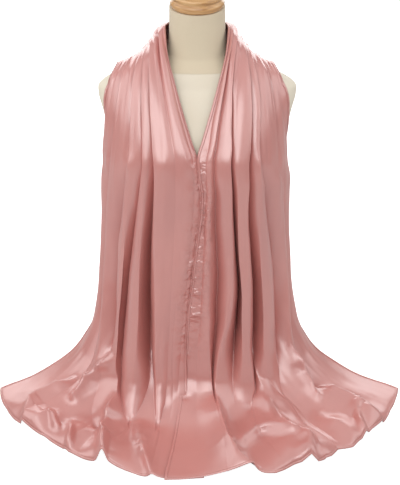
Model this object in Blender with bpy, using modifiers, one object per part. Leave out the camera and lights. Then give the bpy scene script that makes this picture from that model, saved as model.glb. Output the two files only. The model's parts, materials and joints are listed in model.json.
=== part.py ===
"""A satin hijab shawl that hangs open round the neck of a limbless dress form.

Metres, +Z up. The form stands on the plane Z = 0, with the origin in the middle of its flat underside.
Its front faces -Y, and +X is at the viewer's right. The shawl is one rectangle of cloth. It lies round
the nape and over both shoulders, falls in folds at the front and spreads on the plane in a half round.
"""

import bisect
import math

import bmesh
import bpy
from mathutils import Matrix, Vector
from mathutils.bvhtree import BVHTree

# ---------------------------------------------------------------- sizes

WALL = 0.0012  # thickness of the cloth
SEAM_GAP = 0.0003  # between pieces that meet
SEAM_STEP = 0.0016  # share of the length left out at that seam
FRONT_GAP = 0.0010  # between the two inner edges at the centre front
FORM_GAP = 0.0031  # least distance from the dress form to the drape's inner face, at its points
SEAM_SHARE = 0.165  # where a front fall meets the nape stretch, from the middle of the back to the hem
SETTLES = (0.75, 0.95)  # over this share of the length the falls settle on the plane
BLEND_SHARE = 0.150  # behind this the folds of the two sides grow into each other
NAPE_ROWS = 20
FALL_ROWS = ((SEAM_SHARE + SEAM_STEP, 9), (0.37, 8), (0.74, 10))  # a stretch's start and its rows
FOLD_STEPS = (0.0, 0.25, 0.50, 0.75)  # where a fold has its columns, valley to valley
SAMPLES = 320  # steps of the sum that unrolls a section
LEAST_SAMPLES = 8  # the fewest of them in one fold
GROUND_STEPS = 40  # steps across a section of the ground
SLOPE_STEP = 0.004  # share of the length, for the drape's slope along the cloth
TANGENT_STEP = 0.01  # share of a section, for its slope across

# The ground of the drape at the +X side, without its folds, a row for each section. A section runs across
# the cloth through a point on its inner edge, one midway and one on its outer edge. Crest is how much
# broader the folds' crests are than their valleys.
SECTION_COLUMNS = (
    "share", "in_x", "in_y", "in_z", "mid_x", "mid_y", "mid_z", "out_x", "out_y", "out_z", "crest",
)
SECTIONS = (
    (0.00, 0.0000, 0.0560, 0.703, 0.0000, 0.1020, 0.570, 0.0000, 0.1130, 0.400, 0.20),
    (0.06, 0.0310, 0.0480, 0.705, 0.0570, 0.0900, 0.600, 0.0740, 0.1040, 0.440, 0.20),
    (0.11, 0.0480, 0.0280, 0.709, 0.0800, 0.0680, 0.642, 0.1180, 0.0880, 0.530, 0.25),
    (0.14, 0.0530, 0.0120, 0.709, 0.0900, 0.0380, 0.656, 0.1430, 0.0540, 0.594, 0.28),
    (0.17, 0.0550, -0.0020, 0.706, 0.0920, 0.0020, 0.660, 0.1420, 0.0060, 0.638, 0.30),
    (0.21, 0.0530, -0.0340, 0.676, 0.1000, -0.0440, 0.643, 0.1560, -0.0280, 0.613, 0.32),
    (0.27, 0.0360, -0.0760, 0.612, 0.1060, -0.0850, 0.582, 0.1620, -0.0300, 0.557, 0.34),
    (0.37, 0.0000, -0.1300, 0.497, 0.1100, -0.1130, 0.480, 0.1640, -0.0150, 0.460, 0.35),
    (0.49, 0.0000, -0.1370, 0.375, 0.1170, -0.1120, 0.362, 0.1650, -0.0050, 0.348, 0.35),
    (0.60, 0.0000, -0.1450, 0.262, 0.1250, -0.1170, 0.250, 0.1730, 0.0000, 0.238, 0.32),
    (0.70, 0.0000, -0.1560, 0.162, 0.1380, -0.1270, 0.152, 0.1910, -0.0030, 0.146, 0.25),
    (0.77, 0.0000, -0.1690, 0.088, 0.1560, -0.1400, 0.080, 0.2220, -0.0120, 0.088, 0.10),
    (0.82, 0.0000, -0.1920, 0.032, 0.1800, -0.1590, 0.030, 0.2600, -0.0240, 0.050, -0.05),
    (0.87, 0.0000, -0.2350, 0.004, 0.2160, -0.1890, 0.005, 0.3040, -0.0370, 0.026, -0.20),
    (0.93, 0.0000, -0.3050, 0.000, 0.2600, -0.2270, 0.000, 0.3530, -0.0480, 0.007, -0.35),
    (1.00, 0.0000, -0.3880, 0.000, 0.3020, -0.2640, 0.000, 0.3960, -0.0640, 0.000, -0.45),
)
SIDE_REACH = {-1: 1.025, 1: 0.985}  # the fall at -X stands out a little more, but not on the plane

# The folds of each side, from the centre front to the outer edge. Breadth is the fold's share of the
# cloth's width, lean tips its crest outwards, and rise is how far the valley at its outer side stands
# above the ground on the chest. The rest is the angle of its sides, in radians, at the nape, on the
# shoulder, on the chest, above the plane, at the foot and at the hem.
FOLD_COLUMNS = ("breadth", "lean", "rise", "nape", "shoulder", "chest", "knee", "foot", "hem")
FOLD_STATIONS = (
    ("nape", 0.0), ("shoulder", 0.17), ("chest", 0.40), ("knee", 0.65), ("foot", 0.82), ("hem", 1.0),
)
FOLDS_RIGHT = (
    (0.082, 0.20, 0.004, 1.10, 1.35, 0.45, 0.35, 0.45, 0.20),
    (0.070, -0.20, 0.007, 0.80, 1.40, 0.55, 0.30, 0.35, 0.10),
    (0.085, 0.10, 0.006, 1.00, 1.45, 0.50, 0.45, 0.50, 0.15),
    (0.065, -0.25, 0.000, 1.10, 1.40, 1.45, 1.40, 0.95, 0.80),
    (0.170, 0.25, 0.007, 1.20, 1.45, 1.45, 1.45, 1.35, 0.35),
    (0.078, 0.00, 0.003, 0.80, 1.35, 1.30, 1.20, 0.80, 0.30),
    (0.125, -0.20, 0.006, 1.20, 1.40, 1.00, 1.20, 1.20, 0.95),
    (0.100, 0.15, 0.001, 0.90, 1.40, 1.15, 1.20, 1.05, 0.75),
    (0.110, 0.20, 0.005, 1.10, 1.30, 1.40, 1.40, 1.00, 0.30),
    (0.115, 0.10, 0.002, 0.80, 1.20, 1.35, 1.20, 0.75, 0.20),
)
FOLDS_LEFT = (
    (0.055, 0.30, 0.005, 1.10, 1.35, 0.80, 0.60, 0.50, 0.20),
    (0.068, 0.30, 0.000, 0.90, 1.45, 1.40, 1.20, 0.80, 0.25),
    (0.155, 0.15, 0.001, 1.20, 1.45, 1.25, 1.40, 1.30, 0.50),
    (0.125, -0.25, 0.004, 0.90, 1.40, 1.45, 1.35, 1.05, 0.90),
    (0.090, 0.15, 0.008, 1.10, 1.45, 0.70, 0.80, 1.05, 0.65),
    (0.097, -0.10, 0.002, 0.80, 1.40, 0.80, 1.10, 1.20, 0.80),
    (0.105, -0.20, 0.006, 1.20, 1.40, 1.40, 1.45, 1.20, 0.85),
    (0.105, 0.20, 0.001, 0.90, 1.35, 1.45, 1.30, 1.00, 0.50),
    (0.100, 0.00, 0.005, 1.10, 1.30, 1.35, 1.35, 0.90, 0.25),
    (0.100, 0.10, 0.002, 0.80, 1.20, 1.30, 1.20, 0.70, 0.20),
)
RISES = (0.25, 0.38, 0.70, 0.92)  # over these shares of the length the valleys rise, and then sink again

# The centre front seam wanders to -X on its way down, and takes the cloth near it along.
WANDER_COLUMNS = ("share", "shift")
WANDER = ((0.00, 0.000), (0.40, 0.000), (0.60, -0.006), (0.72, -0.018), (0.85, -0.026), (1.00, -0.018))
WANDER_REACH = 0.30  # share of the cloth's width that it moves

# The dress form, a row for each level section of the torso and then of the neck.
FORM_COLUMNS = ("height", "half_width", "half_depth", "middle_y", "tilt")
TORSO = (
    (0.0000, 0.1480, 0.0960, 0.0000, 0.0),
    (0.0060, 0.1550, 0.1030, 0.0000, 0.0),
    (0.0700, 0.1580, 0.1060, 0.0000, 0.0),
    (0.1600, 0.1440, 0.0980, 0.0000, 0.0),
    (0.2500, 0.1220, 0.0880, -0.0020, 0.0),
    (0.3300, 0.1290, 0.0930, -0.0080, 0.0),
    (0.4100, 0.1480, 0.1010, -0.0150, 0.0),
    (0.4700, 0.1580, 0.1050, -0.0200, 0.0),
    (0.5200, 0.1650, 0.1000, -0.0150, 0.0),
    (0.5600, 0.1740, 0.0900, -0.0070, 0.0),
    (0.5850, 0.1810, 0.0810, -0.0030, 0.0),
    (0.5990, 0.1820, 0.0750, -0.0010, 0.0),
    (0.6100, 0.1740, 0.0690, 0.0000, 0.5),
    (0.6220, 0.1530, 0.0640, 0.0000, 1.0),
    (0.6330, 0.1240, 0.0600, 0.0000, 2.0),
    (0.6440, 0.0890, 0.0560, 0.0010, 4.0),
    (0.6550, 0.0660, 0.0530, 0.0020, 6.0),
    (0.6660, 0.0560, 0.0510, 0.0030, 8.0),
)
NECK = (
    (0.6660, 0.0560, 0.0510, 0.0030, 8.0),
    (0.6850, 0.0525, 0.0500, 0.0030, 8.5),
    (0.7150, 0.0505, 0.0490, 0.0025, 9.5),
    (0.7440, 0.0500, 0.0480, 0.0020, 10.0),
)
FORM_SIDES = 32

# The turned cap: radius and height above the neck's top, from the middle of its top to its underside.
CAP = (
    (0.0000, 0.0560), (0.0080, 0.0550), (0.0130, 0.0505), (0.0140, 0.0440), (0.0110, 0.0380),
    (0.0130, 0.0350), (0.0250, 0.0320), (0.0380, 0.0275), (0.0440, 0.0220), (0.0455, 0.0185),
    (0.0430, 0.0160), (0.0450, 0.0140), (0.0480, 0.0110), (0.0490, 0.0070), (0.0480, 0.0025),
    (0.0455, 0.0000), (0.0000, 0.0000),
)
CAP_STEPS = 32
CAP_MERGE = 0.00005  # points on the cap's axis nearer than this become one
SHARP_ANGLE = 50  # degrees between faces from which an edge of the form stays sharp

# Base colour, roughness and metallic of each material.
SATIN = ("satin", (0.62, 0.33, 0.31), 0.34, 0.0)
COVER = ("form_cover", (0.80, 0.70, 0.55), 0.80, 0.0)
NECK_COVER = ("neck_cover", (0.74, 0.62, 0.47), 0.78, 0.0)
WOOD = ("turned_wood", (0.66, 0.40, 0.16), 0.40, 0.0)


# ---------------------------------------------------------------- scene and materials


def clear_scene():
    for obj in list(bpy.data.objects):
        bpy.data.objects.remove(obj, do_unlink=True)


def make_material(name, colour, roughness, metallic):
    material = bpy.data.materials.new(name)
    material.use_nodes = True
    shader = material.node_tree.nodes["Principled BSDF"]
    shader.inputs["Base Color"].default_value = (*colour, 1.0)
    shader.inputs["Roughness"].default_value = roughness
    shader.inputs["Metallic"].default_value = metallic
    material.diffuse_color = (*colour, 1.0)
    return material


def add_object(name, bm, material, collection):
    """A smooth object with this mesh, in the given collection."""
    mesh = bpy.data.meshes.new(name)
    bm.to_mesh(mesh)
    bm.free()
    mesh.shade_smooth()
    obj = bpy.data.objects.new(name, mesh)
    obj.data.materials.append(material)
    collection.objects.link(obj)
    return obj


# ---------------------------------------------------------------- smooth tables


def column(rows, columns, name):
    index = columns.index(name)
    return [row[index] for row in rows]


def slopes(xs, ys):
    """Slopes of a smooth curve through the points that never overshoots them."""
    secants = [(y1 - y0) / (x1 - x0) for x0, x1, y0, y1 in zip(xs, xs[1:], ys, ys[1:])]
    inner = [0.0 if a * b <= 0 else 2 * a * b / (a + b) for a, b in zip(secants, secants[1:])]
    return [secants[0]] + inner + [secants[-1]]


class Curve:
    """A smooth curve y(x) through the rows of a table."""

    def __init__(self, xs, ys):
        self.xs, self.ys, self.slopes = xs, ys, slopes(xs, ys)

    def at(self, x):
        x = min(max(x, self.xs[0]), self.xs[-1])
        k = min(max(bisect.bisect_right(self.xs, x) - 1, 0), len(self.xs) - 2)
        step = self.xs[k + 1] - self.xs[k]
        s = (x - self.xs[k]) / step
        rise = self.ys[k] * (2 * s**3 - 3 * s**2 + 1) + self.ys[k + 1] * (3 * s**2 - 2 * s**3)
        bend = self.slopes[k] * (s**3 - 2 * s**2 + s) + self.slopes[k + 1] * (s**3 - s**2)
        return rise + step * bend


def smoothstep(low, high, x):
    s = min(max((x - low) / (high - low), 0.0), 1.0)
    return s * s * (3 - 2 * s)


def curves_of(rows, columns, key):
    xs = column(rows, columns, key)
    return {name: Curve(xs, column(rows, columns, name)) for name in columns if name != key}


# ---------------------------------------------------------------- the drape

GROUND = curves_of(SECTIONS, SECTION_COLUMNS, "share")
SHIFT = Curve(column(WANDER, WANDER_COLUMNS, "share"), column(WANDER, WANDER_COLUMNS, "shift"))


def fold_curves(folds):
    """For each fold its breadth, lean and rise, and its steepness along the cloth."""
    shares = [share for _, share in FOLD_STATIONS]
    names = [name for name, _ in FOLD_STATIONS]
    found = []
    for row in folds:
        fold = dict(zip(FOLD_COLUMNS, row))
        steepness = Curve(shares, [fold[name] for name in names])
        found.append((fold["breadth"], fold["lean"], fold["rise"], steepness))
    return found


FOLDS = {-1: fold_curves(FOLDS_RIGHT), 1: fold_curves(FOLDS_LEFT)}


def mix(a, b, part):
    return a * (1 - part) + b * part


def folds_at(along):
    """(breadth, lean, rise, steepness) of each fold at a place along the cloth, from -1 to 1."""
    share = abs(along)
    blend = 0.5 + 0.5 * math.copysign(smoothstep(0.0, BLEND_SHARE, share), along)
    risen = smoothstep(*RISES[:2], share) - smoothstep(*RISES[2:], share)
    mixed = []
    for (b0, l0, r0, s0), (b1, l1, r1, s1) in zip(FOLDS[-1], FOLDS[1]):
        steep = mix(s0.at(share), s1.at(share), blend)
        mixed.append((mix(b0, b1, blend), mix(l0, l1, blend), risen * mix(r0, r1, blend), steep))
    return mixed


def ground_point(share, across):
    """A point of the drape at the +X side without folds, at this share of its section's three points."""
    weights = (
        (1 - across) * (1 - 2 * across),
        4 * across * (1 - across),
        across * (2 * across - 1),
    )
    point = Vector((0, 0, 0))
    for weight, place in zip(weights, ("in", "mid", "out")):
        point += weight * Vector([GROUND[f"{place}_{axis}"].at(share) for axis in "xyz"])
    return point


def ground_section(share):
    """The points of one section, evenly spaced in its parameter, and their distances along it."""
    points = [ground_point(share, k / GROUND_STEPS) for k in range(GROUND_STEPS + 1)]
    lengths = [0.0]
    for a, b in zip(points, points[1:]):
        lengths.append(lengths[-1] + (b - a).length)
    return points, lengths


def unroll(folds, crest):
    """Sums the wave across the cloth, as (reach, height, rise of the valleys, share of the cloth) rows."""
    rows = [(0.0, 0.0, 0.0, 0.0)]
    reach, start, valley = 0.0, 0.0, 0.0
    for breadth, lean, rise, steep in folds:
        steps = max(int(SAMPLES * breadth), LEAST_SAMPLES)
        angles = []
        for k in range(steps):
            turn = 2 * math.pi * (k + 0.5) / steps
            angles.append(steep * math.sin(turn + crest * math.sin(turn) + lean * (1 - math.cos(turn))))
        drift = sum(math.sin(angle) for angle in angles) / steps
        height = 0.0
        for k, angle in enumerate(angles):
            part = (k + 1) / steps
            reach += math.cos(angle) * breadth / steps
            height += (math.sin(angle) - drift) * breadth / steps
            rows.append((reach, max(height, 0.0), mix(valley, rise, part), start + breadth * part))
        start += breadth
        valley = rise
    return rows


class Section:
    """One section across the cloth, with its folds, at a place along it from -1 to 1."""

    def __init__(self, along):
        self.share = abs(along)
        self.folds = folds_at(along)
        self.points, self.lengths = ground_section(self.share)
        self.rows = unroll(self.folds, GROUND["crest"].at(self.share))
        self.across = [row[3] for row in self.rows]
        self.width = self.lengths[-1] / self.rows[-1][0]

    def place(self, across):
        """(share of the ground section, height of the fold over it) for a share of the cloth's width."""
        k = min(max(bisect.bisect_right(self.across, across) - 1, 0), len(self.rows) - 2)
        before, after = self.rows[k], self.rows[k + 1]
        s = min(max((across - before[3]) / (after[3] - before[3]), 0.0), 1.0)
        reach, height, rise, _ = (mix(a, b, s) for a, b in zip(before, after))
        reach *= self.width
        j = min(max(bisect.bisect_right(self.lengths, reach) - 1, 0), len(self.lengths) - 2)
        part = (reach - self.lengths[j]) / (self.lengths[j + 1] - self.lengths[j])
        return (j + part) / (len(self.points) - 1), height * self.width + rise


def clear_of(point, form):
    """The point, moved straight out where it lies too near to the dress form or inside it."""
    nearest, normal, _, _ = form.find_nearest(point)
    return point + max(FORM_GAP - (point - nearest).dot(normal), 0.0) * normal


def drape_point(section, side, across, form):
    """The cloth's inner face at a share of its width, on the side -1 or 1."""
    share = section.share
    ground, height = section.place(across)
    point = ground_point(share, ground)
    ahead, behind = min(share + SLOPE_STEP, 1.0), max(share - SLOPE_STEP, 0.0)
    over = ground_point(ahead, ground) - ground_point(behind, ground)
    if share < SLOPE_STEP:
        over = Vector((1, 0, 0))
    outer, inner = min(ground + TANGENT_STEP, 1.0), max(ground - TANGENT_STEP, 0.0)
    tangent = ground_point(share, outer) - ground_point(share, inner)
    point += height * over.cross(tangent).normalized()
    stretch = 1 + (SIDE_REACH[side] - 1) * (1 - smoothstep(*SETTLES, share))
    point.x = side * (point.x * stretch + FRONT_GAP / 2)
    point.x += SHIFT.at(share) * (1 - smoothstep(0.0, WANDER_REACH, across))
    point.z = max(point.z, 0.0)
    return clear_of(point, form)


def fold_columns(section):
    """The shares of the cloth's width where its columns stand: the same steps in each fold."""
    found, start = [], 0.0
    for breadth, *_ in section.folds:
        found += [start + breadth * step for step in FOLD_STEPS]
        start += breadth
    return found + [1.0]


def make_cloth(name, alongs, form, material, collection):
    """A wall of cloth through the sections at these places, grown outwards from the drape's inner face."""
    columns = len(FOLDS_LEFT) * len(FOLD_STEPS) + 1
    bm = bmesh.new()
    bmesh.ops.create_grid(bm, x_segments=columns - 1, y_segments=len(alongs) - 1, size=1.0)
    ordered = sorted(bm.verts, key=lambda v: (round(v.co.y, 5), round(v.co.x, 5)))
    for row, along in enumerate(alongs):
        section = Section(along)
        side = 1 if along > 0 else -1
        for k, across in enumerate(fold_columns(section)):
            vert = ordered[row * columns + k]
            vert.co = drape_point(section, side, across, form)
    bm.normal_update()
    obj = add_object(name, bm, material, collection)
    wall = obj.modifiers.new("wall", "SOLIDIFY")
    wall.thickness = WALL
    wall.offset = 1.0
    return obj


# ---------------------------------------------------------------- the dress form


def ring_points(row, sides):
    """An ellipse at a height, tipped forwards by its tilt."""
    ring = dict(zip(FORM_COLUMNS, row))
    centre = Vector((0, ring["middle_y"], ring["height"]))
    tip = Matrix.Rotation(math.radians(ring["tilt"]), 3, "X")
    for k in range(sides):
        turn = 2 * math.pi * k / sides
        flat = Vector((ring["half_width"] * math.cos(turn), ring["half_depth"] * math.sin(turn), 0))
        yield centre + tip @ flat


def add_rings(bm, rows, sides, lift):
    """An open tube through elliptic sections, raised by lift. Returns its first and last ring."""
    raised = Vector((0, 0, lift))
    rings = [[bm.verts.new(point + raised) for point in ring_points(row, sides)] for row in rows]
    for below, above in zip(rings, rings[1:]):
        for k in range(sides):
            following = (k + 1) % sides
            bm.faces.new((below[k], below[following], above[following], above[k]))
    return rings[0], rings[-1]


def make_form_piece(name, rows, sides, lift, material, collection):
    """A closed body through elliptic sections, with flat ends."""
    bm = bmesh.new()
    bottom, top = add_rings(bm, rows, sides, lift)
    bm.faces.new(reversed(bottom))
    bm.faces.new(top)
    bm.normal_update()
    obj = add_object(name, bm, material, collection)
    obj.data.set_sharp_from_angle(angle=math.radians(SHARP_ANGLE))
    return obj


def form_surface():
    """The outside of the torso and the neck as one surface, to find the nearest point on."""
    bm = bmesh.new()
    add_rings(bm, TORSO + NECK[1:], FORM_SIDES, 0.0)
    bm.normal_update()
    tree = BVHTree.FromBMesh(bm)
    bm.free()
    return tree


def make_cap(material, collection):
    """The turned cap, standing square on the neck's tilted top."""
    bm = bmesh.new()
    verts = [bm.verts.new((radius, 0, height)) for radius, height in CAP]
    for a, b in zip(verts, verts[1:]):
        bm.edges.new((a, b))
    obj = add_object("form_cap", bm, material, collection)
    turn = obj.modifiers.new("turn", "SCREW")
    turn.angle = 2 * math.pi
    turn.steps = CAP_STEPS
    turn.render_steps = CAP_STEPS
    turn.use_merge_vertices = True
    turn.merge_threshold = CAP_MERGE
    top = dict(zip(FORM_COLUMNS, NECK[-1]))
    obj.rotation_euler = (math.radians(top["tilt"]), 0, 0)
    obj.location = (0, top["middle_y"], top["height"] + 2 * SEAM_GAP)
    return obj


# ---------------------------------------------------------------- build


def even(low, high, count):
    return [low + (high - low) * k / (count - 1) for k in range(count)]


def fall_shares():
    """Where a front fall has its rows: closer together over the shoulder and where it meets the plane."""
    ends = [start for start, _ in FALL_ROWS[1:]] + [1.0]
    shares = []
    for (start, count), end in zip(FALL_ROWS, ends):
        shares += [start + (end - start) * k / count for k in range(count)]
    return shares + [1.0]


def main():
    clear_scene()
    collection = bpy.data.collections.new("hijab_on_dress_form")
    bpy.context.scene.collection.children.link(collection)
    satin, cover, neck_cover, wood = (make_material(*row) for row in (SATIN, COVER, NECK_COVER, WOOD))

    make_form_piece("form_torso", TORSO, FORM_SIDES, 0.0, cover, collection)
    make_form_piece("form_neck", NECK, FORM_SIDES, SEAM_GAP, neck_cover, collection)
    make_cap(wood, collection)

    form = form_surface()
    fall = fall_shares()
    make_cloth("shawl_fall_left", fall, form, satin, collection)
    make_cloth("shawl_fall_right", [-share for share in fall], form, satin, collection)
    make_cloth("shawl_nape", even(-SEAM_SHARE, SEAM_SHARE, NAPE_ROWS), form, satin, collection)


main()
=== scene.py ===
# %% [markdown]
# # A satin hijab on a dress form
#
# The object is one long rectangle of satin. It lies round the nape and over both shoulders of a limbless
# dress form, meets itself at the centre front, falls in folds and spreads on the table in a half round.
# Everything is in metres, +Z is up and the front faces -Y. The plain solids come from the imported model, and
# each piece made here takes the place of one or more of them.

import json
import math

import bmesh
import bpy
import numpy as np
from mathutils import Matrix, Vector
from mathutils.bvhtree import BVHTree

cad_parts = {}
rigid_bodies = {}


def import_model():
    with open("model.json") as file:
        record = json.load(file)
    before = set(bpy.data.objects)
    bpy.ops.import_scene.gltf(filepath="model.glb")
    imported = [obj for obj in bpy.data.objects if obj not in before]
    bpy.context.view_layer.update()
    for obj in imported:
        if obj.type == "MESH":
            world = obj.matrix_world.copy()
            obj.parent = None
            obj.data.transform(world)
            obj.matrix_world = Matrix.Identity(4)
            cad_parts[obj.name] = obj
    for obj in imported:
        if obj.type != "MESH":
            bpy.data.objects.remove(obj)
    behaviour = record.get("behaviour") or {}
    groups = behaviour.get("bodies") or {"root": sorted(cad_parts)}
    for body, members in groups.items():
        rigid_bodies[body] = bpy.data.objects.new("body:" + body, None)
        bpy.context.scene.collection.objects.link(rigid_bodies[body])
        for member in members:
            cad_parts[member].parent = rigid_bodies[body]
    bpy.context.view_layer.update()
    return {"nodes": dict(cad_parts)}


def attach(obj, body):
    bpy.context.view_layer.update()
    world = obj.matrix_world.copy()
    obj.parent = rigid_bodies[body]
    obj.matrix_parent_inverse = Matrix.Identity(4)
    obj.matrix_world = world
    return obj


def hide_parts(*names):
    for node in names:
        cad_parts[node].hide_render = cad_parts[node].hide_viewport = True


for left_over in list(bpy.data.objects):
    bpy.data.objects.remove(left_over, do_unlink=True)
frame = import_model()
print("solids:", ", ".join(sorted(frame["nodes"])))

# %% [markdown]
# ## Tables and smooth curves
#
# Cloth is easier to shape by tables than by hand: a few rows say where it runs, and a curve that never
# overshoots fills in between them. Its slope at a row is the harmonic mean of the slopes beside it, or level
# where they differ in sign, so that no bump swells between two rows.


# %% Smooth curves through tables
def curve_through(xs, rows, at):
    """The values of a smooth curve through the rows, one row of values for each entry of at."""
    xs, rows = np.asarray(xs, float), np.asarray(rows, float)
    at = np.clip(at, xs[0], xs[-1])
    secant = np.diff(rows, axis=0) / np.diff(xs)[:, None]
    before, after = secant[:-1], secant[1:]
    total = np.where(np.abs(before + after) < 1e-12, 1.0, before + after)
    inside = np.where(before * after > 0, 2 * before * after / total, 0.0)
    slope = np.vstack([secant[:1], inside, secant[-1:]])
    k = np.clip(np.searchsorted(xs, at, side="right") - 1, 0, len(xs) - 2)
    step = (xs[k + 1] - xs[k])[:, None]
    t = (at - xs[k])[:, None] / step
    value = rows[k] * (2 * t**3 - 3 * t**2 + 1) + rows[k + 1] * (3 * t**2 - 2 * t**3)
    return value + step * (slope[k] * (t**3 - 2 * t**2 + t) + slope[k + 1] * (t**3 - t**2))


def fade(low, high, at):
    """0 below low, 1 above high and a soft change between them."""
    t = np.clip((np.asarray(at, float) - low) / (high - low), 0.0, 1.0)
    return t * t * (3 - 2 * t)


def bump(middle, reach, at):
    """A soft bump of height 1."""
    return np.exp(-(((at - middle) / reach) ** 2))


def unit(vectors):
    """The same directions with a length of 1."""
    return vectors / np.linalg.norm(vectors, axis=-1, keepdims=True)


def run_along(points):
    """The length of a chain of points up to each of them."""
    return np.concatenate([[0.0], np.cumsum(np.linalg.norm(np.diff(points, axis=0), axis=1))])


def by_side(tables, along, at):
    """Metres from the tables of (hundredths, millimetres): the right side's where along is negative."""
    right, left = (np.interp(at, *(np.array(tables[name]) / (100, 1000)).T) for name in ("right", "left"))
    return np.where(along[:, None] < 0, right, left)


print("a fade at its start, middle and end:", fade(0.0, 1.0, [0.0, 0.5, 1.0]))

# %% [markdown]
# ## The ground of the drape
#
# Without its folds the shawl is a smooth band. A section runs straight across the cloth through three points:
# at the inner edge, midway and at the outer edge. Its share of the way from the middle of the back to the hem
# comes first, and the other side mirrors it. The bend at the bust, near 0.36, is tight: above it the cloth
# lies on the chest and below it hangs free.

# %% The ground of the drape
SECTIONS = (  # share of the way, then x, y and z of the three points in millimetres
    (0.00, 0, 56, 703, 0, 102, 570, 0, 113, 400),
    (0.06, 31, 48, 705, 57, 90, 600, 74, 104, 440),
    (0.11, 48, 28, 709, 80, 68, 642, 118, 88, 530),
    (0.14, 53, 12, 709, 90, 38, 656, 143, 54, 594),
    (0.17, 55, -2, 706, 92, 2, 660, 142, 6, 638),
    (0.21, 53, -34, 676, 100, -44, 643, 156, -28, 613),
    (0.27, 36, -76, 612, 106, -85, 582, 162, -30, 557),
    (0.34, 10, -116.5, 530, 108.5, -109, 510, 163.6, -19, 490),
    (0.37, 0, -129, 497, 110, -115, 480, 164, -15, 460),
    (0.40, 0, -133.8, 466, 111.5, -114, 450, 164.2, -12, 432),
    (0.44, 0, -136.2, 425, 114, -113, 411, 164.5, -8.5, 395),
    (0.49, 0, -137, 375, 117, -112, 362, 165, -5, 348),
    (0.60, 0, -145, 262, 125, -117, 250, 173, 0, 238),
    (0.70, 0, -156, 162, 138, -127, 152, 191, -3, 146),
    (0.77, 0, -169, 88, 156, -140, 80, 222, -12, 88),
    (0.80, 0, -185, 61, 171, -152, 55, 244, -19, 64),
    (0.84, 0, -214, 36, 194, -172, 33, 278, -29, 42),
    (0.88, 0, -248, 17, 224, -196, 16, 312, -39, 24),
    (0.91, 0, -282, 6, 245, -214, 6, 337, -44, 13),
    (0.94, 0, -315, 1, 266, -232, 1, 360, -50, 6),
    (1.00, 0, -388, 0, 302, -264, 0, 396, -64, 0),
)
MIRROR = (-1, -1, 1, 1, -1, 1, 1, -1, 1, 1)  # turns the share and each X round
BAND = np.vstack([np.array(SECTIONS[:0:-1]) * MIRROR, SECTIONS])
BAND[:, 1:] /= 1000
STEP = 0.002  # for slopes


def ground(along, across):
    """Points of the smooth band, for places along it (-1 to 1) and a row of places across it for each."""
    rows = curve_through(BAND[:, 0], BAND[:, 1:], along)
    inner, middle, outer = (rows[:, None, k : k + 3] for k in (0, 3, 6))
    t = np.clip(across, 0.0, 1.0)[..., None]
    return (1 - t) * (1 - 2 * t) * inner + 4 * t * (1 - t) * middle + t * (2 * t - 1) * outer


def ground_normal(along, across):
    """Directions straight out of the smooth band, away from the dress form."""
    over = ground(along + STEP, across) - ground(along - STEP, across)
    beside = ground(along, across + STEP) - ground(along, across - STEP)
    return unit(np.cross(over, beside))


print("rows in the band's table:", len(BAND))

# %% [markdown]
# ## The folds
#
# Folds in a hanging cloth are round on their crests and narrow in their valleys, and no two are alike. So
# each crest and each valley is a line of its own, from 0 at the inner edge to 15 at the outer one. A row
# gives their places in thousandths of the way across and their heights over the ground in millimetres: under
# zero where a valley sinks behind it. A place that steps back is a tuck. Near the table a crest drops below
# the ground's own bend, so that the fold ends there in a rounded tongue. The left side's table also has the
# row at the middle of the back.

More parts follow.
